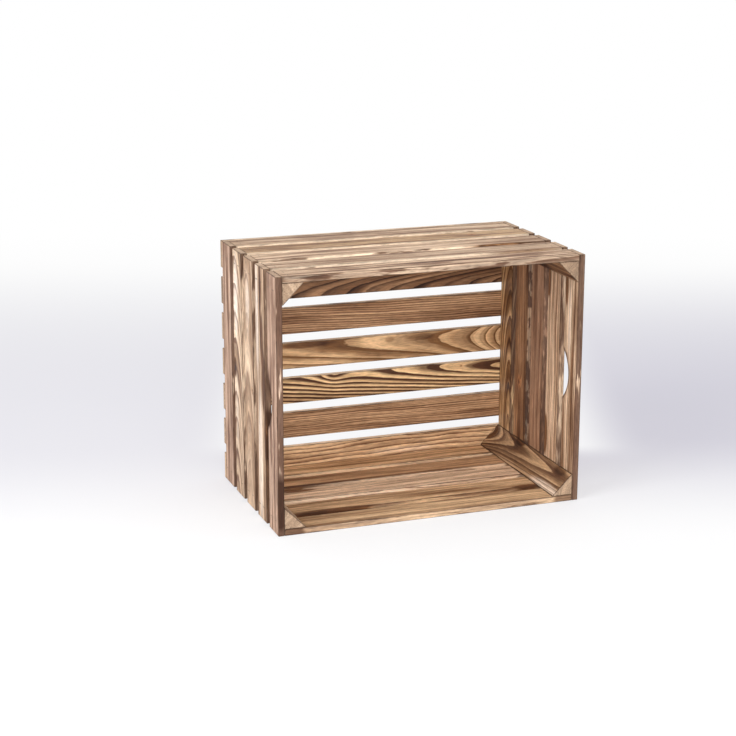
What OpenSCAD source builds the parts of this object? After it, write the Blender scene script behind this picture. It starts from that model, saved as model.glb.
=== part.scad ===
// Slatted wooden crate that lies on one long side, with its open rim to the front.
// X runs along the crate, Y from the open rim back to the slatted bottom, Z is up.
// The origin lies on the floor below the middle of the crate. Sizes are in millimetres.

/* [Crate] */
// Length over the two ends
crate_l = 500; // [440:5:560]
// Depth from the open rim to the outer face of the slatted bottom
crate_d = 300; // [280:5:340]
// Height as the crate lies, from one long side to the other
crate_h = 400; // [370:5:440]

/* [Walls] */
// Number of boards in each of the four walls
wall_boards = 5; // [3:1:5]
// Width of a wall board
wall_board_w = 46; // [40:1:50]
// Thickness of the boards of the two long sides
side_t = 10; // [8:0.5:12]
// Thickness of the boards of the two ends
end_t = 10; // [8:0.5:12]

/* [Slatted bottom] */
// Number of slats
slat_count = 7; // [5:1:7]
// Width of a slat
slat_w = 44; // [38:1:50]
// Thickness of a slat
slat_t = 10; // [8:0.5:12]

/* [Corner posts] */
// Leg of the triangular section, along each wall
post_leg = 33; // [29:1:40]
// Flat left on each of the two sharp edges of the section
post_flat = 1.5; // [0.5:0.5:3]
// Distance of a post's end behind the rim
post_setback = 1; // [0.5:0.5:6]

/* [Hand grips] */
// Radius of the arc cut into the rim board of each end
grip_r = 50; // [42:1:70]
// Depth of the arc, from the board's inner edge
grip_depth = 19; // [12:1:24]

/* [Edges] */
// Width of the bevel on every arris
arris = 0.8; // [0.4:0.1:1.4]

/* [Staples] */
// Width over a staple's crown
crown_w = 10; // [8:0.5:12]
// Thickness of the square staple wire
wire = 1.2; // [0.8:0.1:1.5]
// Length of a staple's legs, the crown included
staple_leg = 25; // [20:1:28]
// Depth of a crown's face below the face of the wood
staple_sink = 0.2; // [0.1:0.1:0.5]
// Play between a staple and its slot, on each side
staple_play = 0.05; // [0.02:0.01:0.1]
// Distance of the wall staples from the inner face of the neighbouring wall
staple_in = 12; // [9:0.5:14]
// Distance of a board's two staples from its middle line
staple_spread = 11; // [9:0.5:12.5]
// Shift of the end boards' staples, which keeps them clear of the side boards' ones
staple_stagger = 2.8; // [2.2:0.1:3.6]
// Number of staples along each outer slat, into the long side behind it
edge_staples = 3; // [1:1:4]
// Spacing of those staples
edge_staple_pitch = 120; // [60:5:130]

/* [Hidden] */
SIDES = ["lower", "upper"];
ENDS = ["left", "right"];

// Extent of the walls in Y, up to the inner face of the slats
rim_y = -crate_d / 2;
wall_d = crate_d - slat_t;
// Clear lengths between the two ends and between the two long sides
inner_l = crate_l - 2 * end_t;
inner_h = crate_h - 2 * side_t;
// Spacing of the boards and slats, the outer ones flush with the crate's edges
wall_pitch = (wall_d - wall_board_w) / (wall_boards - 1);
slat_pitch = (crate_h - slat_w) / (slat_count - 1);
// Reach of a cutting tool past the face it cuts
over = 1;
// Facets of the round cuts
$fn = 96;

// Colours of planed softwood after scorching, one for each board in turn
TINTS = ["#b08a63", "#c2a27a", "#a67c52", "#c9ab85", "#9c7450", "#b8926a", "#8f6a48"];
POST_TINT = "#c8a67c";
STEEL_TINT = "#8b8a86";

function board_y(n) = rim_y + wall_board_w / 2 + (n - 1) * wall_pitch;
function slat_z(n) = slat_w / 2 + (n - 1) * slat_pitch;
function tint(n) = TINTS[n % len(TINTS)];
// -1 for the lower side and the left end, 1 for the upper side and the right end
function sign_of(i) = 2 * i - 1;

// Frames for pieces drawn with their outer face at z = 0, facing up, and their length along X

module on_side(s) {
    if (s > 0) translate([0, 0, crate_h]) children();
    else mirror([0, 0, 1]) children();
}

module on_end(s) {
    if (s > 0) translate([crate_l / 2, 0, crate_h / 2]) rotate([0, 90, 0]) children();
    else mirror([1, 0, 0]) on_end(1) children();
}

module flip(axis, s) {
    if (s < 0) mirror(axis) children();
    else children();
}

module on_bottom(z) {
    translate([0, crate_d / 2, z]) rotate([-90, 0, 0]) children();
}

// Rectangle with bevelled corners, centred
module eased_rect(a, b) {
    x = a / 2;
    y = b / 2;
    polygon([
        [x, arris - y], [x, y - arris], [x - arris, y], [arris - x, y],
        [-x, y - arris], [-x, arris - y], [arris - x, -y], [x - arris, -y]
    ]);
}

// Board with every arris bevelled, its outer face at z = 0
module board(l, w, t) {
    translate([0, 0, -t / 2]) intersection() {
        linear_extrude(height = t, center = true) eased_rect(l, w);
        rotate([90, 0, 0]) linear_extrude(height = w, center = true) eased_rect(l, t);
        rotate([0, 90, 0]) linear_extrude(height = l, center = true) eased_rect(t, w);
    }
}

// Staple driven into a face at z = 0, its crown along Y
module staple() {
    translate([0, 0, -staple_sink]) rotate([90, 0, 90]) linear_extrude(height = wire, center = true)
        difference() {
            translate([-crown_w / 2, -staple_leg]) square([crown_w, staple_leg]);
            translate([wire - crown_w / 2, -staple_leg - over])
                square([crown_w - 2 * wire, staple_leg + over - wire]);
        }
}

// Slot that holds such a staple with its play, open at the face
module staple_slot() {
    w = wire + 2 * staple_play;
    deep = staple_sink + staple_leg + staple_play;
    crown_deep = staple_sink + wire + staple_play;
    translate([-w / 2, -crown_w / 2 - staple_play, -crown_deep])
        cube([w, crown_w + 2 * staple_play, crown_deep + over]);
    for (s = [-1, 1])
        translate([-w / 2, s * (crown_w - wire) / 2 - w / 2, -deep]) cube([w, w, deep]);
}

// Places of the staples, each for a piece drawn at z = 0 of the face it is driven into

module at_side_staples(s, n, xs = [-1, 1]) {
    on_side(s) for (sx = xs, k = [-1, 1])
        translate([sx * (inner_l / 2 - staple_in), board_y(n) + k * staple_spread, 0]) children();
}

module at_end_staples(s, n, zs = [-1, 1]) {
    on_end(s) for (sz = zs, k = [-1, 1])
        translate([-sz * (inner_h / 2 - staple_in), board_y(n) + staple_stagger + k * staple_spread, 0])
            children();
}

module at_slat_staples(n, xs = [-1, 1]) {
    on_bottom(slat_z(n)) for (sx = xs, k = [-1, 1])
        translate([sx * (crate_l - end_t) / 2, k * staple_spread, 0]) children();
}

module at_edge_staples(s) {
    z = crate_h / 2 + s * (crate_h - side_t) / 2;
    on_bottom(z) for (i = [0:edge_staples - 1])
        translate([(i - (edge_staples - 1) / 2) * edge_staple_pitch, 0, 0]) rotate([0, 0, 90])
            children();
}

// Board n of the lower or upper long side, counted from the rim
module side_board(s, n) {
    color(tint(n + 1 + s)) difference() {
        on_side(s) translate([0, board_y(n), 0]) board(inner_l, wall_board_w, side_t);
        at_side_staples(s, n) staple_slot();
        if (n == wall_boards) at_edge_staples(s) staple_slot();
    }
}

// Arc of a hand grip, cut through a board from its inner edge and bevelled on both faces
module grip_cut() {
    translate([0, board_y(1) + wall_board_w / 2 - grip_depth + grip_r, -end_t]) {
        translate([0, 0, -over]) cylinder(h = end_t + 2 * over, r = grip_r);
        translate([0, 0, -over]) cylinder(h = arris + over, r1 = grip_r + arris + over, r2 = grip_r);
        translate([0, 0, end_t - arris])
            cylinder(h = arris + over, r1 = grip_r, r2 = grip_r + arris + over);
    }
}

// Board n of the left or right end, counted from the rim
module end_board(s, n) {
    color(tint(n + 3 + s)) difference() {
        on_end(s) translate([0, board_y(n), 0]) board(crate_h, wall_board_w, end_t);
        if (n == 1) on_end(s) grip_cut();
        at_end_staples(s, n) staple_slot();
        if (n == wall_boards) for (m = [1:slat_count]) at_slat_staples(m, [s]) staple_slot();
    }
}

// Slat n of the bottom, counted from the floor
module slat(n) {
    color(tint(n)) difference() {
        on_bottom(slat_z(n)) board(crate_l, slat_w, slat_t);
        at_slat_staples(n) staple_slot();
        if (n == 1) at_edge_staples(-1) staple_slot();
        if (n == slat_count) at_edge_staples(1) staple_slot();
    }
}

// Section of a post, its right angle at the origin
module post_section() {
    polygon([
        [0, 0], [-post_leg, 0], [-post_leg, post_flat], [-post_flat, post_leg], [0, post_leg]
    ]);
}

// Triangular post in the corner of long side s and end e, its sloping face to the inside
module post(s, e) {
    post_l = wall_d - post_setback;
    color(POST_TINT) difference() {
        translate([e * inner_l / 2, rim_y + post_setback, crate_h / 2 + s * inner_h / 2])
            flip([1, 0, 0], e) flip([0, 0, 1], s) rotate([-90, 0, 0])
                linear_extrude(height = post_l) post_section();
        for (n = [1:wall_boards]) {
            at_side_staples(s, n, [e]) staple_slot();
            at_end_staples(e, n, [s]) staple_slot();
        }
    }
}

module end_staples(s) {
    color(STEEL_TINT) for (n = [1:wall_boards]) at_end_staples(s, n) staple();
}

module side_staples(s) {
    color(STEEL_TINT) for (n = [1:wall_boards]) at_side_staples(s, n) staple();
}

module bottom_staples() {
    color(STEEL_TINT) {
        for (n = [1:slat_count]) at_slat_staples(n) staple();
        for (s = [-1, 1]) at_edge_staples(s) staple();
    }
}

for (n = [1:slat_count])
    slat(n);
for (i = [0, 1], n = [1:wall_boards])
    end_board(sign_of(i), n);
for (i = [0, 1], n = [1:wall_boards])
    side_board(sign_of(i), n);
for (i = [0, 1], j = [0, 1])
    post(sign_of(i), sign_of(j));
for (i = [0, 1])
    end_staples(sign_of(i));
for (i = [0, 1])
    side_staples(sign_of(i));
bottom_staples();  // staples_bottom
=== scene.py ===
"""Looks of a slatted wooden crate whose softwood boards were scorched with a flame and brushed."""

import logging
import math
from dataclasses import dataclass
from enum import Enum

import bpy
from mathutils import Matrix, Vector


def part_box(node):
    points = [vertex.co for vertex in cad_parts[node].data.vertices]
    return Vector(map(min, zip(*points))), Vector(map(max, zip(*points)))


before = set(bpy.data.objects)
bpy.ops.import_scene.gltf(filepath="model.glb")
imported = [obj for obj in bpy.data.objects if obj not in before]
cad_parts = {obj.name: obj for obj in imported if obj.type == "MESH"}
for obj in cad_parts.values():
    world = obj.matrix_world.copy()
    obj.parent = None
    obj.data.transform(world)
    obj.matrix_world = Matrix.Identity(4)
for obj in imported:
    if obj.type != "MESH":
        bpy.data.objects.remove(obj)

LOG = logging.getLogger("crate")
MM = 0.001

Colour = tuple[float, float, float]
WHITE: Colour = (1.0, 1.0, 1.0)


def linear(code: str) -> Colour:
    """A colour in linear light from its six-digit screen code.

    Args:
        code: Red, green and blue as hexadecimal digits.

    Returns:
        The three linear channels.
    """
    channels = [int(code[i:i + 2], 16) / 255 for i in (0, 2, 4)]
    return tuple(c / 12.92 if c <= 0.04045 else ((c + 0.055) / 1.055) ** 2.4 for c in channels)


class Signal:
    """A socket in a shader, with arithmetic that adds Math nodes."""

    def __init__(self, finish: "Tree", socket: bpy.types.NodeSocket) -> None:
        """Wraps one output socket of a tree's node."""
        self.finish = finish
        self.socket = socket

    def math(self, operation: str, *values: "Signal | float") -> "Signal":
        """The result of a Math node on these values.

        Args:
            operation: The Math node's operation.
            values: Its inputs in order.

        Returns:
            The node's output.
        """
        inputs = dict(enumerate(values))
        return self.finish.node("ShaderNodeMath", {"operation": operation}, inputs)

    def __add__(self, other: "Signal | float") -> "Signal":
        """Sum."""
        return self.math("ADD", self, other)

    def __radd__(self, other: float) -> "Signal":
        """Sum with a number on the left."""
        return self.math("ADD", other, self)

    def __sub__(self, other: "Signal | float") -> "Signal":
        """Difference."""
        return self.math("SUBTRACT", self, other)

    def __rsub__(self, other: float) -> "Signal":
        """Difference with a number on the left."""
        return self.math("SUBTRACT", other, self)

    def __mul__(self, other: "Signal | float") -> "Signal":
        """Product."""
        return self.math("MULTIPLY", self, other)

    def __rmul__(self, other: float) -> "Signal":
        """Product with a number on the left."""
        return self.math("MULTIPLY", other, self)

    def __truediv__(self, other: "Signal | float") -> "Signal":
        """Quotient."""
        return self.math("DIVIDE", self, other)

    def __rtruediv__(self, other: float) -> "Signal":
        """Quotient with a number on the left."""
        return self.math("DIVIDE", other, self)

    def __abs__(self) -> "Signal":
        """Size without the sign."""
        return self.math("ABSOLUTE", self)

    def root(self) -> "Signal":
        """Square root."""
        return self.math("SQRT", self)

    def floor(self) -> "Signal":
        """Whole number below."""
        return self.math("FLOOR", self)

    def fract(self) -> "Signal":
        """Part past the whole number below."""
        return self.math("FRACT", self)

    def least(self, other: "Signal | float") -> "Signal":
        """The lesser of two values."""
        return self.math("MINIMUM", self, other)

    def most(self, other: "Signal | float") -> "Signal":
        """The greater of two values."""
        return self.math("MAXIMUM", self, other)

    def clamp(self) -> "Signal":
        """The value held between 0 and 1."""
        return self.most(0.0).least(1.0)

    def step(self, low: "Signal | float", high: "Signal | float") -> "Signal":
        """A soft step from 0 at low to 1 at high.

        Args:
            low: Value at which the step starts.
            high: Value at which it ends.

        Returns:
            The step, from 0 to 1.
        """
        settings = {"interpolation_type": "SMOOTHSTEP"}
        return self.finish.node("ShaderNodeMapRange", settings, {0: self, 1: low, 2: high, 3: 0.0, 4: 1.0})


class Tree:
    """A node tree under construction, of a material or of the world."""

    def __init__(self, tree: bpy.types.NodeTree) -> None:
        """Starts from an empty tree."""
        self.tree = tree
        self.tree.nodes.clear()

    def node(self, kind: str, settings: dict, inputs: dict, output: int | str = 0) -> Signal:
        """Adds a node.

        Args:
            kind: The node's type.
            settings: Properties to set before its sockets.
            inputs: Values or signals for its sockets, by index or name.
            output: Which output to return.

        Returns:
            That output as a signal, or none for a node without outputs.
        """
        made = self.tree.nodes.new(kind)
        for key, value in settings.items():
            setattr(made, key, value)
        for key, value in inputs.items():
            if isinstance(value, Signal):
                self.tree.links.new(value.socket, made.inputs[key])
            elif isinstance(value, tuple) and made.inputs[key].type == "RGBA":
                made.inputs[key].default_value = (*value, 1.0)
            else:
                made.inputs[key].default_value = value
        return Signal(self, made.outputs[output] if made.outputs else None)

    def mix(self, share: Signal | float, first: Signal | Colour, second: Signal | Colour,
            blend: str = "MIX") -> Signal:
        """Mixes two colours.

        Args:
            share: How much of the second shows.
            first: The colour below.
            second: The colour on top.
            blend: The way they blend.

        Returns:
            The mixed colour.
        """
        settings = {"data_type": "RGBA", "blend_type": blend, "clamp_factor": True}
        return self.node("ShaderNodeMix", settings, {0: share, 6: first, 7: second}, 2)

    def noise(self, place: Signal, size: Colour, shift: float, detail: float,
              roughness: float = 0.5) -> Signal:
        """Cloudy noise around 0.5.

        Args:
            place: Where it is read.
            size: Rough size of its features along each axis.
            shift: Where in the noise this piece lies.
            detail: Octaves of finer noise.
            roughness: Weight of the finer noise.

        Returns:
            The noise, from 0 to 1.
        """
        scaled = self.node("ShaderNodeVectorMath", {"operation": "MULTIPLY_ADD"},
                           {0: place, 1: tuple(1 / s for s in size), 2: (shift, shift * 1.7, -shift)})
        return self.node("ShaderNodeTexNoise", {"noise_dimensions": "3D"},
                         {"Vector": scaled, "Scale": 1.0, "Detail": detail, "Roughness": roughness})

    def vector(self, x: Signal | float, y: Signal | float, z: Signal | float) -> Signal:
        """A vector of three values."""
        return self.node("ShaderNodeCombineXYZ", {}, {0: x, 1: y, 2: z})


class Tone(Enum):
    """Colours of scorched softwood: its soft early wood and its hard late wood."""

    CREAM = ("e5caad", "7f5c45")
    ROSE = ("d6b59e", "7d5c49")
    TAN = ("d5b38c", "6d4d37")
    GOLD = ("e8c494", "482c1b")
    BROWN = ("c49d77", "5e4130")
    UMBER = ("b48a66", "3d2416")
    AMBER = ("e8c294", "75502f")
    RUSSET = ("bb9478", "5f4031")

    @property
    def early(self) -> Colour:
        """Colour of the early wood."""
        return linear(self.value[0])

    @property
    def late(self) -> Colour:
        """Colour of the late wood."""
        return linear(self.value[1])


@dataclass(frozen=True)
class Swell:
    """A soft bump somewhere on a board, in millimetres from the board's middle."""

    at: tuple[float, float]
    reach: tuple[float, float]
    height: float

    def field(self, along: Signal, across: Signal) -> Signal:
        """The bump's share, 1 at its middle and 0 far away.

        Args:
            along: Place along the board.
            across: Place across the board.

        Returns:
            The share.
        """
        du = (along - self.at[0]) / self.reach[0]
        dv = (across - self.at[1]) / self.reach[1]
        near = 1.0 + du * du + dv * dv
        return 1.0 / (near * near)


@dataclass(frozen=True)
class Knot:
    """A knot, with its place and half width in millimetres, and its length and lift as shares of that."""

    at: tuple[float, float]
    radius: float
    length: float = 1.5
    lift: float = 1.1

    def bump(self) -> Swell:
        """The bump that bends the growth rings round the knot."""
        reach = (self.radius * self.length * 2.2, self.radius * 2.0)
        return Swell(self.at, reach, self.radius * self.lift)


@dataclass(frozen=True)
class Grain:
    """How a board was sawn from its log and how the flame took it, with a factor of painted light. Lengths
    are in millimetres.
    """

    seed: float
    pith: tuple[float, float]
    ring: float = 3.4
    phase: float = 0.0
    spread: float = 1.3
    tilt: float = 0.0
    lean: float = 0.0
    wave: float = 5.0
    ripple: float = 0.8
    tone: Tone = Tone.TAN
    contrast: float = 0.75
    late_from: float = 0.25
    line: float = 0.5
    reverse: bool = False
    scorch: float = 0.5
    arris: float = 0.9
    edge: float = 0.4
    soot: float = 0.75
    dash: float = 55.0
    sawn: float = 0.6
    streaks: float = 1.0
    # Brightness factor of the whole board: partly its own lightness, partly painted light that lifts boards
    # lying in the shade inside the crate.
    light: float = 1.0
    swells: tuple[Swell, ...] = ()
    knots: tuple[Knot, ...] = ()
    stains: tuple[Swell, ...] = ()
    pales: tuple[Swell, ...] = ()


class Pattern(Enum):
    """Noises in the wood.

    Each has its size along, across and through the board in millimetres, its shift from the board's seed,
    its octaves and the weight of the finer ones.
    """

    SLOW_WAVE = ((190.0, 60.0, 60.0), 0.0, 1.0, 0.5)
    QUICK_WAVE = ((38.0, 9.0, 9.0), 5.0, 3.0, 0.6)
    RAGGED_CHAR = ((30.0, 3.0, 3.0), 11.0, 3.0, 0.65)
    PATCHY_CHAR = ((90.0, 14.0, 14.0), 17.0, 2.0, 0.5)
    FIBRE = ((45.0, 0.7, 0.7), 23.0, 2.0, 0.7)
    STREAK = ((140.0, 3.2, 9.0), 29.0, 3.0, 0.6)
    SMOKE = ((110.0, 24.0, 24.0), 37.0, 3.0, 0.55)
    KNOT_RIM = ((5.0, 5.0, 5.0), 47.0, 2.0, 0.5)
    BAND = ((260.0, 7.0, 30.0), 53.0, 2.0, 0.5)
    GRIT = ((13.0, 1.7, 1.7), 59.0, 2.0, 0.6)

    def read(self, sh: Tree, place: Signal, seed: float) -> Signal:
        """The noise, from 0 to 1 and around 0.5.

        Args:
            sh: The material under construction.
            place: Where it is read.
            seed: The board's seed.

        Returns:
            The noise.
        """
        size, shift, detail, roughness = self.value
        return sh.noise(place, size, seed + shift, detail, roughness)


class Ramp(Enum):
    """Soft steps, each with the value at which it starts and the one at which it ends."""

    RING_LINE = (0.72, 0.92)
    RING_GAP = (0.95, 1.0)
    RAGGED_CHAR = (0.48, 0.85)
    PATCHY_CHAR = (0.3, 0.6)
    INNER_FACE = (4.6, 4.9)
    POST_FACE = (0.3, 0.9)
    SMOKE = (0.42, 0.7)
    MARK = (0.25, 0.7)
    KNOT_HALO = (0.7, 2.1)
    KNOT_CORE = (0.25, 0.75)

    def on(self, value: Signal) -> Signal:
        """The step that a value makes, from 0 to 1."""
        return value.step(*self.value)


# Dark colour of charring and knot cores, also used for the painted shade in the crease along each post.
CHAR_AND_CREASE_SHADE = linear("402b1e")
SCORCH = linear("a58f80")
# Dark colour of burnt narrow edges, also used for the painted shade at the ends of the gaps.
BURNT_AND_GAP_SHADE = linear("5c4132")
SAWN = linear("f4dcc0")
STAIN = linear("957a63")
END_GRAIN = linear("aa8f76")
STREAK = linear("b49a86")
PALE = linear("eedccb")
KNOT_HALO = linear("a56c43")
DULLED = (0.56, 0.48, 0.42)

RING_DRIFT = 0.37
LATE_FULL = 0.85
FLOW_THROUGH = 0.2
SKIN_START = 1.0
SKIN_FULL = 0.6
CHAR_REACH = 1.3
RAGGED_REACH = 3.0
CHAR_CORE = 0.3
CHAR_LEAST = 0.65
GRIP_REACH = 0.22
CREASE_SHADE_CORE = 0.5
CREASE_SHADE_SPREAD = 0.5
CREASE_SHADE_STRENGTH = 0.8
MARK_BLUR = 0.35
SAW_PATCH_WIDTH = 7.0
SAW_PATCH_SHIFT = 41.0
SAW_PATCH_OCTAVES = 3.0
GAP_END_BLUR = 40.0
GAP_END_SOFT = 5.0
END_GRAIN_SHARE = 0.8
KNOT_RAGGED = 0.7
KNOT_HALO_SHARE = 0.6
KNOT_CORE_SHARE = 0.9
FINE_SHADE = 1.1
RELIEF_DEPTH = 0.35
RELIEF_STRENGTH = 0.6
WOOD_ROUGHNESS = 0.62
WOOD_GLOSS = 0.25


def skin(place: Signal, half: float) -> Signal:
    """1 in a thin skin of the two faces that lie half a size from the middle."""
    return abs(place).step(half - SKIN_START, half - SKIN_FULL)


@dataclass(frozen=True)
class BoardSection:
    """Cross-section of a sawn board: half its width and half its thickness, in millimetres."""

    half: tuple[float, float]

    def to_arris(self, v: Signal, w: Signal) -> Signal:
        """Distance from the nearest long arris."""
        dv, dw = self.half[0] - abs(v), self.half[1] - abs(w)
        return (dv * dv + dw * dw).root()

    def to_side(self, v: Signal, w: Signal) -> Signal:
        """Depth below the nearest long face."""
        return (self.half[0] - abs(v)).least(self.half[1] - abs(w))

    def sawn_edge(self, v: Signal, w: Signal) -> Signal:
        """1 on the two narrow edges that the saw left."""
        return skin(v, self.half[0])


@dataclass(frozen=True)
class PostSection:
    """Cross-section of a three-cornered post, with the side on which its right angle lies, in millimetres."""

    half: tuple[float, float]
    corner: tuple[int, int]
    flat: float

    def to_arris(self, v: Signal, w: Signal) -> Signal:
        """Distance from the nearer of the two sharp edges.

        Args:
            v: Place across the post.
            w: Place through it.

        Returns:
            The distance.
        """
        inward = self.half[0] - self.flat / 2
        cv, cw = self.corner
        near = []
        for ev, ew in ((-cv * self.half[0], cw * inward), (cv * inward, -cw * self.half[1])):
            dv, dw = v - ev, w - ew
            near.append((dv * dv + dw * dw).root())
        return near[0].least(near[1])

    def to_side(self, v: Signal, w: Signal) -> Signal:
        """Depth below the nearest long face."""
        slope = (self.flat + v * self.corner[0] + w * self.corner[1]) * math.sqrt(0.5)
        return slope.least(self.half[0] - abs(v)).least(self.half[1] - abs(w))

    def sawn_edge(self, v: Signal, w: Signal) -> Signal:
        """1 on the two faces that lie against the boards and show in the gaps between them."""
        depth = (self.half[0] - v * self.corner[0]).least(self.half[1] - w * self.corner[1])
        return 1.0 - Ramp.POST_FACE.on(depth)


@dataclass(frozen=True)
class GripArc:
    """Arc of a hand grip, with its middle across the board and its radius, in millimetres."""

    middle: float = 54.0
    radius: float = 50.0

    def distance(self, u: Signal, v: Signal) -> Signal:
        """Distance from the arc's edge."""
        dv = v - self.middle
        return abs((u * u + dv * dv).root() - self.radius)


@dataclass(frozen=True)
class Place:
    """A point of a board, and its parts along, across and through the board in millimetres."""

    point: Signal
    u: Signal
    v: Signal
    w: Signal


@dataclass(frozen=True)
class Rings:
    """Growth rings: coordinates that follow them, the late wood's share, and a number for each ring."""

    flow: Signal
    late: Signal
    lot: Signal


@dataclass(frozen=True)
class ScorchedWood:
    """Softwood sawn, scorched and brushed, drawn in the board's own frame as a solid pattern."""

    grain: Grain
    centre: Vector
    turn: tuple[float, float, float]
    half_length: float
    section: BoardSection | PostSection
    grip: GripArc | None = None
    inner: int = 0
    post_edge: float = 0.0
    gap_end: float = 0.0

    def place(self, sh: Tree) -> Place:
        """Coordinates in the board's own frame.

        Args:
            sh: The material under construction.

        Returns:
            The coordinates in millimetres from the board's middle.
        """
        coords = sh.node("ShaderNodeTexCoord", {}, {}, "Object")
        point = sh.node("ShaderNodeMapping", {"vector_type": "TEXTURE"},
                        {"Vector": coords, "Location": tuple(self.centre), "Rotation": self.turn,
                         "Scale": (MM, MM, MM)})
        return Place(point, *(sh.node("ShaderNodeSeparateXYZ", {}, {0: point}, i) for i in range(3)))

    def radius(self, sh: Tree, place: Place) -> Signal:
        """Distance from the log's heart, with its waves.

        Args:
            sh: The material under construction.
            place: The board's own coordinates.

        Returns:
            The distance in millimetres.
        """
        g = self.grain
        slow = Pattern.SLOW_WAVE.read(sh, place.point, g.seed) - 0.5
        quick = Pattern.QUICK_WAVE.read(sh, place.point, g.seed) - 0.5
        across = place.v - g.pith[0] - place.u * g.lean
        through = place.w - g.pith[1] - place.u * g.tilt
        radius = (across * across + through * through).root() + slow * g.wave * 2 + quick * g.ripple * 2
        for swell in (*g.swells, *(knot.bump() for knot in g.knots)):
            radius = radius + swell.field(place.u, place.v) * swell.height
        return radius

    def rings(self, sh: Tree, place: Place) -> Rings:
        """The growth rings, each with its dark late wood.

        Args:
            sh: The material under construction.
            place: The board's own coordinates.

        Returns:
            The rings.
        """
        g = self.grain
        radius = self.radius(sh, place)
        count = radius / g.ring
        uneven = sh.node("ShaderNodeTexNoise", {"noise_dimensions": "1D"},
                         {"W": count * RING_DRIFT + g.seed, "Scale": 1.0, "Detail": 1.0})
        count = count + uneven * g.spread + g.phase
        part = 1.0 - count.fract() if g.reverse else count.fract()
        brown = part.step(g.late_from, LATE_FULL) * (1.0 - g.line) + Ramp.RING_LINE.on(part) * g.line
        late = brown * (1.0 - Ramp.RING_GAP.on(part))
        lot = sh.node("ShaderNodeTexWhiteNoise", {"noise_dimensions": "1D"}, {"W": count.floor() + g.seed})
        return Rings(sh.vector(place.u, radius, place.w * FLOW_THROUGH), late, lot)

    def char_and_crease_shade(self, sh: Tree, place: Place) -> Signal:
        """Where the flame charred the sharp edges and the rim of a grip, with painted shade in the crease
        along a post.

        Args:
            sh: The material under construction.
            place: The board's own coordinates.

        Returns:
            The share of the flame's charring and of the painted crease shade.
        """
        to_end = self.half_length - abs(place.u)
        side = self.section.to_side(place.v, place.w)
        edge = self.section.to_arris(place.v, place.w)
        if self.grip:
            edge = edge.least(self.grip.distance(place.u, place.v) * GRIP_REACH)
        edge = edge.least((to_end * to_end + side * side).root())
        ragged = Pattern.RAGGED_CHAR.read(sh, place.point, self.grain.seed)
        reach = CHAR_REACH + RAGGED_REACH * Ramp.RAGGED_CHAR.on(ragged)
        patchy = Ramp.PATCHY_CHAR.on(Pattern.PATCHY_CHAR.read(sh, place.point, self.grain.seed))
        strength = (CHAR_LEAST + (1.0 - CHAR_LEAST) * patchy) * self.grain.arris
        char_and_shade = (1.0 - edge.step(reach * CHAR_CORE, reach)) * strength
        if self.post_edge:
            # Painted shade: a dark line on the board's inner face where it meets the post's edge.
            crease_shade = 1.0 - abs(abs(place.u) - self.post_edge).step(CREASE_SHADE_CORE, 1.0 + reach * CREASE_SHADE_SPREAD)
            char_and_shade = char_and_shade.most(crease_shade * Ramp.INNER_FACE.on(place.w * self.inner) * CREASE_SHADE_STRENGTH)
        return char_and_shade

    def spots(self, marks: tuple[Swell, ...], smoke: Signal, place: Place) -> Signal:
        """Broad marks with blotchy edges.

        Args:
            marks: The marks, at least one.
            smoke: Cloudy noise that breaks up their edges.
            place: The board's own coordinates.

        Returns:
            How strongly they show, from 0 to 1.
        """
        blur = (smoke - 0.5) * MARK_BLUR
        total = 0.0
        for mark in marks:
            total = total + Ramp.MARK.on(mark.field(place.u, place.v) + blur) * mark.height
        return total.clamp()

    def knot(self, sh: Tree, wood: Signal, knot: Knot, place: Place) -> Signal:
        """Paints one knot over the wood.

        Args:
            sh: The material under construction.
            wood: The colour below.
            knot: The knot.
            place: The board's own coordinates.

        Returns:
            The colour with the knot.
        """
        ragged = (Pattern.KNOT_RIM.read(sh, place.point, self.grain.seed) - 0.5) * KNOT_RAGGED
        du = (place.u - knot.at[0]) / (knot.radius * knot.length)
        dv = (place.v - knot.at[1]) / knot.radius
        away = (du * du + dv * dv).root() + ragged
        wood = sh.mix((1.0 - Ramp.KNOT_HALO.on(away)) * KNOT_HALO_SHARE, wood, KNOT_HALO)
        return sh.mix((1.0 - Ramp.KNOT_CORE.on(away)) * KNOT_CORE_SHARE, wood, CHAR_AND_CREASE_SHADE)

    def long_faces(self, sh: Tree, place: Place, rings: Rings, band: Signal, smoke: Signal) -> Signal:
        """Paints the long faces: rings, streaks, smoke, pale places and knots.

        Args:
            sh: The material under construction.
            place: The board's own coordinates.
            rings: Its growth rings.
            band: Broad bands along the rings, around 0.
            smoke: Cloudy noise over the board.

        Returns:
            The colour.
        """
        g = self.grain
        streak = Pattern.STREAK.read(sh, rings.flow, g.seed) - 0.5
        dull = tuple(c * f for c, f in zip(g.tone.early, DULLED))
        early = sh.mix((streak * 3.0 + 0.3 * rings.lot + 0.25).clamp(), g.tone.early, dull)
        fade = 0.8 + 0.3 * rings.lot + 1.3 * streak
        wood = sh.mix((rings.late * fade * g.contrast).clamp(), early, g.tone.late)
        wood = sh.mix(Ramp.SMOKE.on(smoke) * g.scorch, wood, SCORCH, "MULTIPLY")
        wood = sh.mix((0.15 - band * 4.5 * g.streaks).clamp(), wood, STREAK, "MULTIPLY")
        if g.pales:
            pale = self.spots(g.pales, smoke, place)
            wood = sh.mix(pale * (1.0 - 0.7 * rings.late), wood, PALE)
        for knot in g.knots:
            wood = self.knot(sh, wood, knot, place)
        return wood

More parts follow.
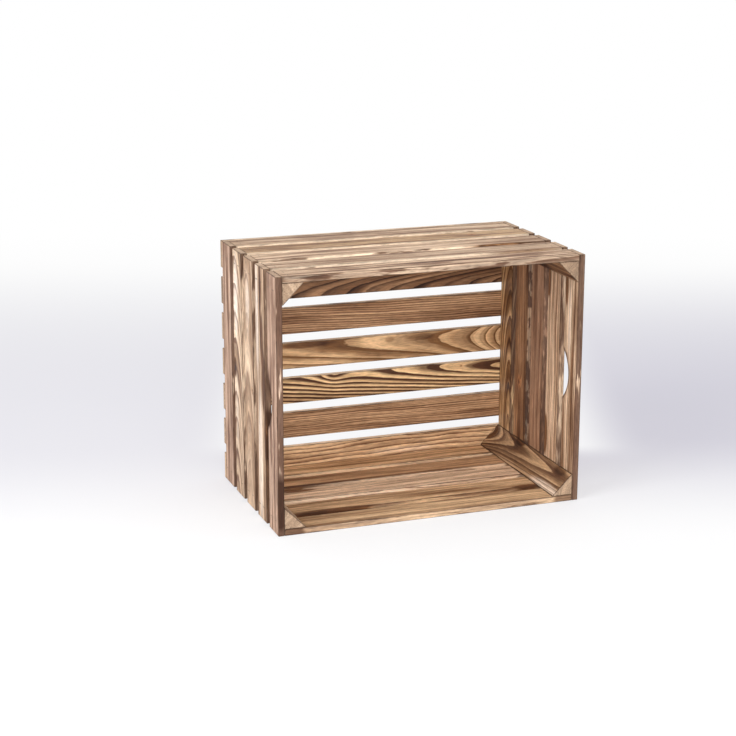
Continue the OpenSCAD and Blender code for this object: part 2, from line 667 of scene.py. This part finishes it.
    def cut_faces(self, sh: Tree, wood: Signal, place: Place, smoke: Signal) -> Signal:
        """Paints the narrow edges pale from the saw or dark from the flame, with painted shade on them past
        the gap's end, then the stains and the end grain.

        Args:
            sh: The material under construction.
            wood: The colour below.
            place: The board's own coordinates.
            smoke: Cloudy noise over the board.

        Returns:
            The colour with its cut faces.
        """
        g = self.grain
        edge = self.section.sawn_edge(place.v, place.w)
        size = (g.dash, SAW_PATCH_WIDTH, SAW_PATCH_WIDTH)
        patch = sh.noise(place.point, size, g.seed + SAW_PATCH_SHIFT, SAW_PATCH_OCTAVES)
        burnt_and_gap_shade = patch.step(0.66 - 0.3 * g.edge, 0.78 - 0.3 * g.edge)
        # Painted shade: past the gap's end, where the board lies over the post, the narrow edges are painted
        # dark.
        if self.gap_end:
            gap_end_shade = abs(place.u) + (smoke - 0.5) * GAP_END_BLUR
            burnt_and_gap_shade = burnt_and_gap_shade.most(gap_end_shade.step(self.gap_end - GAP_END_SOFT, self.gap_end + GAP_END_SOFT))
        wood = sh.mix(edge * (1.0 - burnt_and_gap_shade) * g.sawn, wood, SAWN)
        # The soot weight sets the darkness of both the burnt edges and the painted gap shade.
        wood = sh.mix(edge * burnt_and_gap_shade * g.soot, wood, BURNT_AND_GAP_SHADE)
        if g.stains:
            wood = sh.mix(self.spots(g.stains, smoke, place), wood, STAIN, "MULTIPLY")
        return sh.mix(skin(place.u, self.half_length) * END_GRAIN_SHARE, wood, END_GRAIN)

    def paint(self, name: str) -> bpy.types.Material:
        """Builds the material.

        Args:
            name: Its name.

        Returns:
            The material.
        """
        g = self.grain
        material = bpy.data.materials.new(name)
        material.use_nodes = True
        sh = Tree(material.node_tree)
        place = self.place(sh)
        rings = self.rings(sh, place)
        fibre = Pattern.FIBRE.read(sh, rings.flow, g.seed) - 0.5
        band = Pattern.BAND.read(sh, rings.flow, g.seed) - 0.5
        smoke = Pattern.SMOKE.read(sh, place.point, g.seed)
        grit = Pattern.GRIT.read(sh, place.point, g.seed) - 0.5

        wood = self.long_faces(sh, place, rings, band, smoke)
        wood = self.cut_faces(sh, wood, place, smoke)
        # This share also carries the painted crease shade along the posts.
        char_and_shade = self.char_and_crease_shade(sh, place)
        wood = sh.mix(char_and_shade.clamp(), wood, CHAR_AND_CREASE_SHADE)
        # The board's light factor paints light: besides the board's own lightness, it brightens boards lying
        # in the crate's shade.
        shade = (1.0 + fibre * FINE_SHADE + grit * FINE_SHADE + band * g.streaks) * g.light
        wood = sh.node("ShaderNodeVectorMath", {"operation": "SCALE"}, {0: wood, "Scale": shade})

        relief = rings.late * 0.6 + fibre * 1.2 - char_and_shade * 0.5
        normal = sh.node("ShaderNodeBump", {},
                         {"Strength": RELIEF_STRENGTH, "Distance": RELIEF_DEPTH * MM, "Height": relief})
        rough = (WOOD_ROUGHNESS - rings.late * 0.1 + char_and_shade * 0.15 + fibre * 0.3).clamp()
        surface = sh.node("ShaderNodeBsdfPrincipled", {},
                          {"Base Color": wood, "Roughness": rough, "Normal": normal,
                           "Specular IOR Level": WOOD_GLOSS})
        sh.node("ShaderNodeOutputMaterial", {}, {"Surface": surface})
        return material


@dataclass(frozen=True)
class WireSteel:
    """Zinc-coated staple wire, browned by the flame. Lengths are in millimetres."""

    colour: Colour = linear("9a8672")
    soot: Colour = linear("5a4434")
    soot_size: float = 6.0
    scratch_size: float = 0.6
    scratch_depth: float = 0.1
    roughness: float = 0.35
    metallic: float = 0.9

    def paint(self, name: str) -> bpy.types.Material:
        """Builds the material.

        Args:
            name: Its name.

        Returns:
            The material.
        """
        material = bpy.data.materials.new(name)
        material.use_nodes = True
        sh = Tree(material.node_tree)
        coords = sh.node("ShaderNodeTexCoord", {}, {}, "Object")
        soot = sh.noise(coords, (self.soot_size * MM,) * 3, 3.0, 3.0)
        fine = sh.noise(coords, (self.scratch_size * MM,) * 3, 9.0, 2.0)
        tint = sh.mix(soot.step(0.4, 0.65), self.colour, self.soot)
        normal = sh.node("ShaderNodeBump", {},
                         {"Strength": 0.3, "Distance": self.scratch_depth * MM, "Height": fine})
        surface = sh.node("ShaderNodeBsdfPrincipled", {},
                          {"Base Color": tint, "Roughness": self.roughness + 0.3 * fine,
                           "Metallic": self.metallic - 0.5 * soot, "Normal": normal})
        sh.node("ShaderNodeOutputMaterial", {}, {"Surface": surface})
        return material


class Lie(Enum):
    """How a piece lies: the turn of its own frame, and which world axes run along, across and through it."""

    ALONG_X = ((0.0, 0.0, 0.0), (0, 1, 2))
    SLAT = ((math.pi / 2, 0.0, 0.0), (0, 2, 1))
    UPRIGHT = ((0.0, -math.pi / 2, 0.0), (2, 1, 0))
    POST = ((0.0, 0.0, math.pi / 2), (1, 0, 2))

    @property
    def turn(self) -> tuple[float, float, float]:
        """Turn of the piece's frame."""
        return self.value[0]

    @property
    def axes(self) -> tuple[int, int, int]:
        """World axes along, across and through the piece."""
        return self.value[1]


@dataclass(frozen=True)
class Wall:
    """Pieces that lie the same way, with the grain of each. Lengths are in millimetres."""

    grains: dict[str, Grain]
    inner: int = 0
    lie: Lie = Lie.ALONG_X
    post_edge: float = 0.0
    # Past this distance from the middle, the narrow edges get painted shade.
    gap_end: float = 0.0

    def section(self, name: str, half: tuple[float, float]) -> BoardSection | PostSection:
        """The cross-section of a piece.

        Args:
            name: The piece's node.
            half: Half its width and thickness.

        Returns:
            The section.
        """
        return BoardSection(half)

    def cut(self, name: str) -> GripArc | None:
        """The hand grip cut into a piece, if it has one."""
        return None

    def dress(self) -> None:
        """Gives each piece its own material."""
        for name, grain in self.grains.items():
            low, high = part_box(name)
            length, width, thickness = ((high[a] - low[a]) / 2 / MM for a in self.lie.axes)
            finish = ScorchedWood(grain, (low + high) / 2, self.lie.turn, length,
                                  self.section(name, (width, thickness)), self.cut(name), self.inner,
                                  self.post_edge, self.gap_end)
            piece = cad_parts[name]
            piece.data.materials.clear()
            piece.data.materials.append(finish.paint("wood_" + name))
            LOG.info("%s dressed in %s", name, grain.tone.name)


@dataclass(frozen=True)
class SlattedBottom(Wall):
    """The seven slats of the bottom."""

    lie: Lie = Lie.SLAT


@dataclass(frozen=True)
class EndWall(Wall):
    """The five boards of one end, with a hand grip in the one at the rim."""

    lie: Lie = Lie.UPRIGHT
    post_edge: float = 157.0
    gap_end: float = 157.0
    grip: GripArc = GripArc()

    def cut(self, name: str) -> GripArc | None:
        """The hand grip cut into a piece, if it has one."""
        return self.grip if name.endswith("board_1") else None


@dataclass(frozen=True)
class SideWall(Wall):
    """The five boards of one long side."""

    post_edge: float = 207.0
    gap_end: float = 207.0


@dataclass(frozen=True)
class CornerPosts(Wall):
    """The four corner posts."""

    lie: Lie = Lie.POST
    flat: float = 1.5

    def section(self, name: str, half: tuple[float, float]) -> PostSection:
        """The cross-section of a post, with its right angle in the crate's corner.

        Args:
            name: The piece's node.
            half: Half its width and thickness.

        Returns:
            The section.
        """
        across = -1 if name.endswith("right") else 1
        up = 1 if "upper" in name else -1
        return PostSection(half, (across, up), self.flat)


@dataclass(frozen=True)
class Staples:
    """The wire staples of each wall."""

    walls: tuple[str, ...] = ("left_end", "right_end", "lower_side", "upper_side", "bottom")
    wire: WireSteel = WireSteel()

    def dress(self) -> None:
        """Gives the staples their wire finish."""
        material = self.wire.paint("staple_wire")
        for wall in self.walls:
            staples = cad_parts["staples_" + wall]
            staples.data.materials.clear()
            staples.data.materials.append(material)
            LOG.info("staples_%s dressed", wall)


SLATS = SlattedBottom({
    "slat_1": Grain(1.3, (75, -150), 3.1, wave=4, ripple=0.9, tone=Tone.TAN, contrast=1.4, scorch=0.2,
                    light=1.47, streaks=0.4, pales=(Swell((60, -4), (80, 6), 0.2),)),
    "slat_2": Grain(2.1, (180, -90), 2.8, lean=-0.01, wave=4, ripple=0.6, tone=Tone.BROWN, contrast=1.1,
                    scorch=0.2, light=1.2, streaks=0.6, stains=(Swell((220, -20), (60, 10), 0.4),)),
    "slat_3": Grain(3.7, (25, -22), 5.0, phase=-0.11, tilt=0.054, lean=-0.06, wave=1.2, ripple=0.5,
                    spread=0.15, tone=Tone.GOLD, contrast=1.5, late_from=0.2, line=0.1, reverse=True,
                    scorch=0.1, streaks=0.5, light=1.25, swells=(Swell((-62, 34), (28, 34), -8.5),),
                    knots=(Knot((168, 15), 1.4, 1.3, 0.2),)),
    "slat_4": Grain(4.2, (13, -60), 5.0, phase=-0.13, tilt=0.022, lean=-0.05, wave=1, ripple=0.5, spread=0.1,
                    tone=Tone.AMBER, contrast=1.2, late_from=0.0, line=0.4, reverse=True, scorch=0.1,
                    streaks=0.5, light=1.07, swells=(Swell((300, 5), (90, 80), -37),),
                    stains=(Swell((37, 13), (12, 7), 0.5), Swell((-110, 17), (75, 8), 0.9),
                            Swell((90, 14), (35, 10), 0.6))),
    "slat_5": Grain(5.5, (-160, -120), 3.0, lean=-0.03, wave=4, ripple=0.6, tone=Tone.BROWN, contrast=1.3,
                    scorch=0.2, light=1.2, streaks=0.5, stains=(Swell((235, -16), (60, 12), 0.4),)),
    "slat_6": Grain(6.4, (-22, -38), 3.4, tilt=0.075, wave=1.5, ripple=0.6, spread=0.5, tone=Tone.UMBER,
                    contrast=1.0, line=0.3, scorch=0.2, light=0.9),
    "slat_7": Grain(7.9, (10, -130), 3.8, tilt=0.06, wave=5, tone=Tone.TAN, scorch=0.4),
})
LEFT_END = EndWall({
    "left_end_board_1": Grain(11.2, (120, -60), 3.0, wave=5, ripple=0.6, tone=Tone.ROSE, contrast=0.6,
                              scorch=0.9, edge=1.1, soot=0.9, sawn=0.4, light=1.02,
                              stains=(Swell((-150, -24), (55, 6), 2.0), Swell((20, 18), (50, 5), 1.2))),
    "left_end_board_2": Grain(12.6, (60, -20), 6.5, wave=8, ripple=0.8, tone=Tone.CREAM, contrast=0.7,
                              edge=1.1, sawn=0.1, light=1.13,
                              stains=(Swell((165, -3), (50, 7), 2.0), Swell((90, -8), (50, 8), 2.0),
                                      Swell((25, -15), (60, 10), 2.2), Swell((-60, -23), (60, 8), 1.6)),
                              pales=(Swell((-100, 4), (160, 13), 1.0), Swell((120, 14), (140, 9), 0.9))),
    "left_end_board_3": Grain(13.1, (8, -75), 4.0, tilt=-0.05, wave=3, ripple=0.7, tone=Tone.CREAM, sawn=0.3,
                              contrast=0.65, scorch=0.35, edge=0.6, light=1.12, streaks=0.9,
                              knots=(Knot((-5, -15), 2.6),), pales=(Swell((130, 4), (60, 14), 0.6),)),
    "left_end_board_4": Grain(14.8, (14, -50), 4.8, tilt=-0.105, wave=2, ripple=0.6, spread=0.3,
                              tone=Tone.CREAM, contrast=1.4, late_from=0.4, scorch=0.3, edge=0.6, sawn=0.3,
                              streaks=0.7, light=1.0, stains=(Swell((10, 18), (24, 9), 1.8),),
                              pales=(Swell((125, 8), (90, 14), 1.4), Swell((-60, 10), (90, 8), 0.5))),
    "left_end_board_5": Grain(15.4, (-150, -60), 3.0, wave=4, ripple=0.5, tone=Tone.ROSE, contrast=0.5,
                              edge=1.2, scorch=0.8, light=0.97),
}, inner=-1)
RIGHT_END = EndWall({
    "right_end_board_1": Grain(21.5, (-140, -90), 3.6, wave=6, ripple=0.6, tone=Tone.CREAM, contrast=1.1,
                               scorch=0.8, edge=1.3, soot=0.9, sawn=0.2, streaks=1.3, light=1.07,
                               stains=(Swell((140, 16), (40, 7), 2.2),),
                               pales=(Swell((90, 4), (90, 6), 0.5),)),
    "right_end_board_2": Grain(22.9, (150, -60), 4.0, wave=7, ripple=0.7, tone=Tone.CREAM, contrast=1.1,
                               scorch=0.4, edge=0.8, soot=0.7, sawn=0.1, light=1.24,
                               stains=(Swell((138, 20), (34, 9), 2.2), Swell((-118, 20), (42, 9), 2.2))),
    "right_end_board_3": Grain(23.3, (160, -90), 3.0, wave=4, ripple=0.5, tone=Tone.RUSSET, contrast=0.5,
                               edge=0.9, soot=0.7, sawn=0.0, dash=24.0),
    "right_end_board_4": Grain(24.6, (90, -120), 3.0, wave=4, ripple=0.8, tone=Tone.UMBER, contrast=0.8,
                               edge=0.75, soot=1.0, sawn=0.16, dash=20.0, light=1.15,
                               knots=(Knot((-58, 4), 5.5, 1.5),)),
    "right_end_board_5": Grain(25.2, (-16, -20), 5.5, tilt=-0.13, wave=1.5, ripple=0.6, spread=0.5,
                               tone=Tone.AMBER, contrast=1.6, scorch=0.4, edge=1.1, sawn=0.0, light=1.05),
}, inner=1)
LOWER_SIDE = SideWall({
    "lower_side_board_1": Grain(31.4, (140, -70), 3.0, wave=4, ripple=0.5, tone=Tone.TAN, contrast=0.5,
                                scorch=0.2, sawn=0.2, edge=0.2, light=1.13),
    "lower_side_board_2": Grain(32.2, (-120, -60), 3.6, wave=5, ripple=0.6, tone=Tone.TAN, contrast=0.6,
                                sawn=0.0, edge=0.6, soot=0.6, light=1.35, dash=90.0, scorch=0.3,
                                stains=(Swell((-140, -22), (90, 7), 1.6), Swell((190, -20), (40, 8), 1.0))),
    "lower_side_board_3": Grain(33.7, (90, -60), 3.6, wave=5, ripple=0.7, tone=Tone.CREAM, contrast=0.9,
                                sawn=0.0, scorch=0.2, edge=0.1, light=1.43,
                                stains=(Swell((-165, 18), (40, 8), 1.2),)),
    "lower_side_board_4": Grain(34.5, (-150, -60), 3.4, wave=5, ripple=0.5, tone=Tone.BROWN, contrast=0.6,
                                sawn=0.35, edge=0.35, light=1.43, dash=120.0,
                                stains=(Swell((-190, -20), (70, 8), 1.5), Swell((0, -18), (300, 5), 0.7))),
    "lower_side_board_5": Grain(35.9, (130, -60), 3.0, wave=4, ripple=0.6, tone=Tone.TAN, contrast=0.5,
                                scorch=0.2, sawn=0.2, edge=0.1, light=1.49),
}, inner=1)
UPPER_SIDE = SideWall({
    "upper_side_board_1": Grain(41.1, (-70, -40), 4.2, wave=6, ripple=0.6, tone=Tone.CREAM, contrast=1.3,
                                scorch=1.0, sawn=0.3, edge=0.7, soot=0.7, light=1.11, streaks=1.3,
                                stains=(Swell((60, 4), (260, 5), 0.8),)),
    "upper_side_board_2": Grain(42.8, (80, -50), 4.0, wave=6, ripple=0.6, tone=Tone.CREAM, contrast=0.9,
                                arris=0.6, sawn=1.0, edge=0.2, light=1.0,
                                stains=(Swell((180, -20), (110, 7), 0.8),)),
    "upper_side_board_3": Grain(43.6, (60, -50), 4.2, wave=6, ripple=0.6, tone=Tone.CREAM, contrast=0.8,
                                arris=0.6, sawn=1.0, edge=0.5, light=1.12,
                                stains=(Swell((-110, 15), (100, 8), 0.8), Swell((160, -24), (70, 6), 1.0))),
    "upper_side_board_4": Grain(44.3, (-80, -40), 4.0, wave=6, ripple=0.6, tone=Tone.TAN, contrast=0.8,
                                scorch=0.8, arris=0.6, sawn=1.0, edge=0.2, light=0.98,
                                knots=(Knot((148, 1), 3.5),)),
    "upper_side_board_5": Grain(45.7, (90, -60), 4.0, wave=5, ripple=0.5, tone=Tone.CREAM, contrast=0.7,
                                scorch=0.7, arris=0.6, sawn=1.0, edge=0.2, light=1.05),
}, inner=-1, gap_end=242.0)
POSTS = CornerPosts({
    "post_lower_left": Grain(51.9, (40, 30), 3.2, wave=4, tone=Tone.CREAM, contrast=0.5, edge=1.3, sawn=0.0),
    "post_lower_right": Grain(52.4, (-24, -11.5), 4.1, phase=0.23, tilt=0.012, lean=0.012, wave=0.8,
                              ripple=0.5, spread=0.1, tone=Tone.TAN, contrast=1.2, late_from=0.1,
                              line=0.35, reverse=True, scorch=0.3, edge=1.3, sawn=0.0, light=1.03,
                              swells=(Swell((190, -4), (75, 200), -26.0),),
                              stains=(Swell((45, -14), (24, 8), 1.2), Swell((-112, -12), (26, 10), 0.8)),
                              pales=(Swell((-110, 14), (80, 8), 0.6),)),
    "post_upper_left": Grain(53.8, (60, -30), 3.2, wave=4, tone=Tone.CREAM, contrast=0.5, edge=1.3, sawn=0.0),
    # The broad stain darkens the whole sloping face of this post.
    "post_upper_right": Grain(54.6, (-50, -30), 3.4, wave=4, tone=Tone.UMBER, contrast=0.9, scorch=1.0,
                              edge=1.3, sawn=0.0, light=0.93, stains=(Swell((20, 0), (105, 90), 1.4),)),
})


@dataclass(frozen=True)
class Lamp:
    """A square soft light: its place and side in metres, and its power in watts."""

    name: str
    at: tuple[float, float, float]
    size: float
    power: float


@dataclass(frozen=True)
class Studio:
    """The camera, the pale floor and the soft lights. Lengths are in metres and angles in degrees.

    The floor has a lilac band of painted shade behind the crate, and painted light right behind the crate.
    The band's near and far edges are distances from the camera.
    """

    camera_at: tuple[float, float, float] = (-0.9898, -2.5775, 0.9512)
    camera_turn: tuple[float, float, float] = (74.831, -0.064, -19.971)
    lens: float = 87.39
    floor_size: float = 60.0
    floor_gap: float = 0.0002
    ambient: float = 0.6
    aim: tuple[float, float, float] = (0.0, 0.0, 0.2)
    paper: Colour = linear("f6f6f8")
    # Colour of the painted shade band on the floor.
    band: Colour = linear("c5c2d2")
    shade_band_near: tuple[float, float] = (2.52, 3.08)
    shade_band_far: tuple[float, float] = (3.25, 4.6)
    shade_band_slant: float = 0.15
    shade_band_left: float = 0.62
    shade_band_aside: tuple[float, float] = (-0.1, 0.6)
    # The lit patch right behind the crate is painted light on the floor.
    lit_middle: float = 0.08
    lit_aside: tuple[float, float] = (0.28, 0.42)
    lit_away: tuple[float, float] = (2.9, 3.0)
    glow_least: float = 0.6
    glow_away: tuple[float, float] = (3.4, 5.0)
    lamps: tuple[Lamp, ...] = (
        Lamp("key_left", (-2.6, -1.2, 2.0), 1.6, 52.0),
        Lamp("fill_front", (-0.6, -3.2, 1.1), 1.8, 54.0),
        Lamp("overhead", (0.2, 0.0, 2.6), 2.0, 12.0),
    )

    def camera(self) -> None:
        """Places the camera where the photograph was taken from."""
        data = bpy.data.cameras.new("camera")
        data.lens = self.lens
        data.clip_end = self.floor_size * 2
        camera = bpy.data.objects.new("camera", data)
        camera.location = self.camera_at
        camera.rotation_euler = [math.radians(a) for a in self.camera_turn]
        bpy.context.scene.collection.objects.link(camera)
        bpy.context.scene.camera = camera

    def hang(self, lamp: Lamp) -> None:
        """Adds a square soft light that faces the crate.

        Args:
            lamp: The light.
        """
        data = bpy.data.lights.new(lamp.name, "AREA")
        data.size = lamp.size
        data.energy = lamp.power
        light = bpy.data.objects.new(lamp.name, data)
        light.location = lamp.at
        light.rotation_euler = (Vector(self.aim) - Vector(lamp.at)).to_track_quat("-Z", "Y").to_euler()
        bpy.context.scene.collection.objects.link(light)

    def seen(self, sh: Tree) -> Signal:
        """Whether the camera sees a surface, straight or in gloss.

        Args:
            sh: The tree under construction.

        Returns:
            1 where it does.
        """
        rays = ("Is Camera Ray", "Is Glossy Ray", "Is Transmission Ray")
        camera, glossy, through = (sh.node("ShaderNodeLightPath", {}, {}, ray) for ray in rays)
        return camera.most(glossy).most(through)

    def floor(self) -> None:
        """Adds the floor, which shows nearly white and keeps the crate's shadow.

        A soft lilac band of painted shade lies behind the crate, with painted light on the floor right behind
        the crate.
        """
        bpy.ops.object.select_all(action="DESELECT")
        bpy.ops.mesh.primitive_plane_add(size=self.floor_size, location=(0.0, 0.0, -self.floor_gap))
        floor = bpy.context.object
        floor.name = "floor"
        material = bpy.data.materials.new("floor_paper")
        material.use_nodes = True
        floor.data.materials.append(material)
        sh = Tree(material.node_tree)
        coords = sh.node("ShaderNodeTexCoord", {}, {}, "Object")
        turned = sh.node("ShaderNodeMapping", {"vector_type": "TEXTURE"},
                         {"Vector": coords, "Location": (self.camera_at[0], self.camera_at[1], 0.0),
                          "Rotation": (0.0, 0.0, math.radians(self.camera_turn[2]))})
        aside, away = (sh.node("ShaderNodeSeparateXYZ", {}, {0: turned}, i) for i in range(2))
        # Painted shade: a lilac band on the floor behind the crate, darker towards the right.
        band = (away - self.shade_band_slant * aside.least(0.0)).step(*self.shade_band_near)
        band = band * (1.0 - away.step(*self.shade_band_far))
        # Painted light: the floor right behind the crate is kept bright.
        behind = (1.0 - abs(aside - self.lit_middle).step(*self.lit_aside)) * away.step(*self.lit_away)
        painted_shade = band * (self.shade_band_left + 0.4 * aside.step(*self.shade_band_aside)) * (1.0 - 0.85 * behind)
        paper = sh.mix(painted_shade, WHITE, self.band)
        glow = sh.node("ShaderNodeEmission", {}, {"Color": paper, "Strength": 1.0})
        matt = sh.node("ShaderNodeBsdfDiffuse", {}, {"Color": self.paper})
        bright = away.step(*self.glow_away).most(0.8 * behind)
        share = self.seen(sh) * (self.glow_least + (1.0 - self.glow_least) * bright)
        surface = sh.node("ShaderNodeMixShader", {}, {0: share, 1: matt, 2: glow})
        sh.node("ShaderNodeOutputMaterial", {}, {"Surface": surface})

    def world(self) -> None:
        """Sets a soft white surround, full white where the camera sees it."""
        world = bpy.data.worlds.new("surround")
        world.use_nodes = True
        sh = Tree(world.node_tree)
        level = self.ambient + (1.0 - self.ambient) * self.seen(sh)
        light = sh.node("ShaderNodeBackground", {}, {"Color": WHITE, "Strength": level})
        sh.node("ShaderNodeOutputWorld", {}, {"Surface": light})
        bpy.context.scene.world = world

    def build(self) -> None:
        """Sets up the whole studio."""
        self.camera()
        self.floor()
        self.world()
        for lamp in self.lamps:
            self.hang(lamp)


def main() -> None:
    """Dresses the crate and sets the studio around it."""
    logging.basicConfig(level=logging.INFO, format="%(name)s: %(message)s")
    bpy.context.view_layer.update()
    bpy.context.scene.view_settings.view_transform = "Standard"
    Studio().build()
    for wall in (SLATS, LEFT_END, RIGHT_END, LOWER_SIDE, UPPER_SIDE, POSTS):
        wall.dress()
    Staples().dress()


if __name__ == "__main__":
    main()
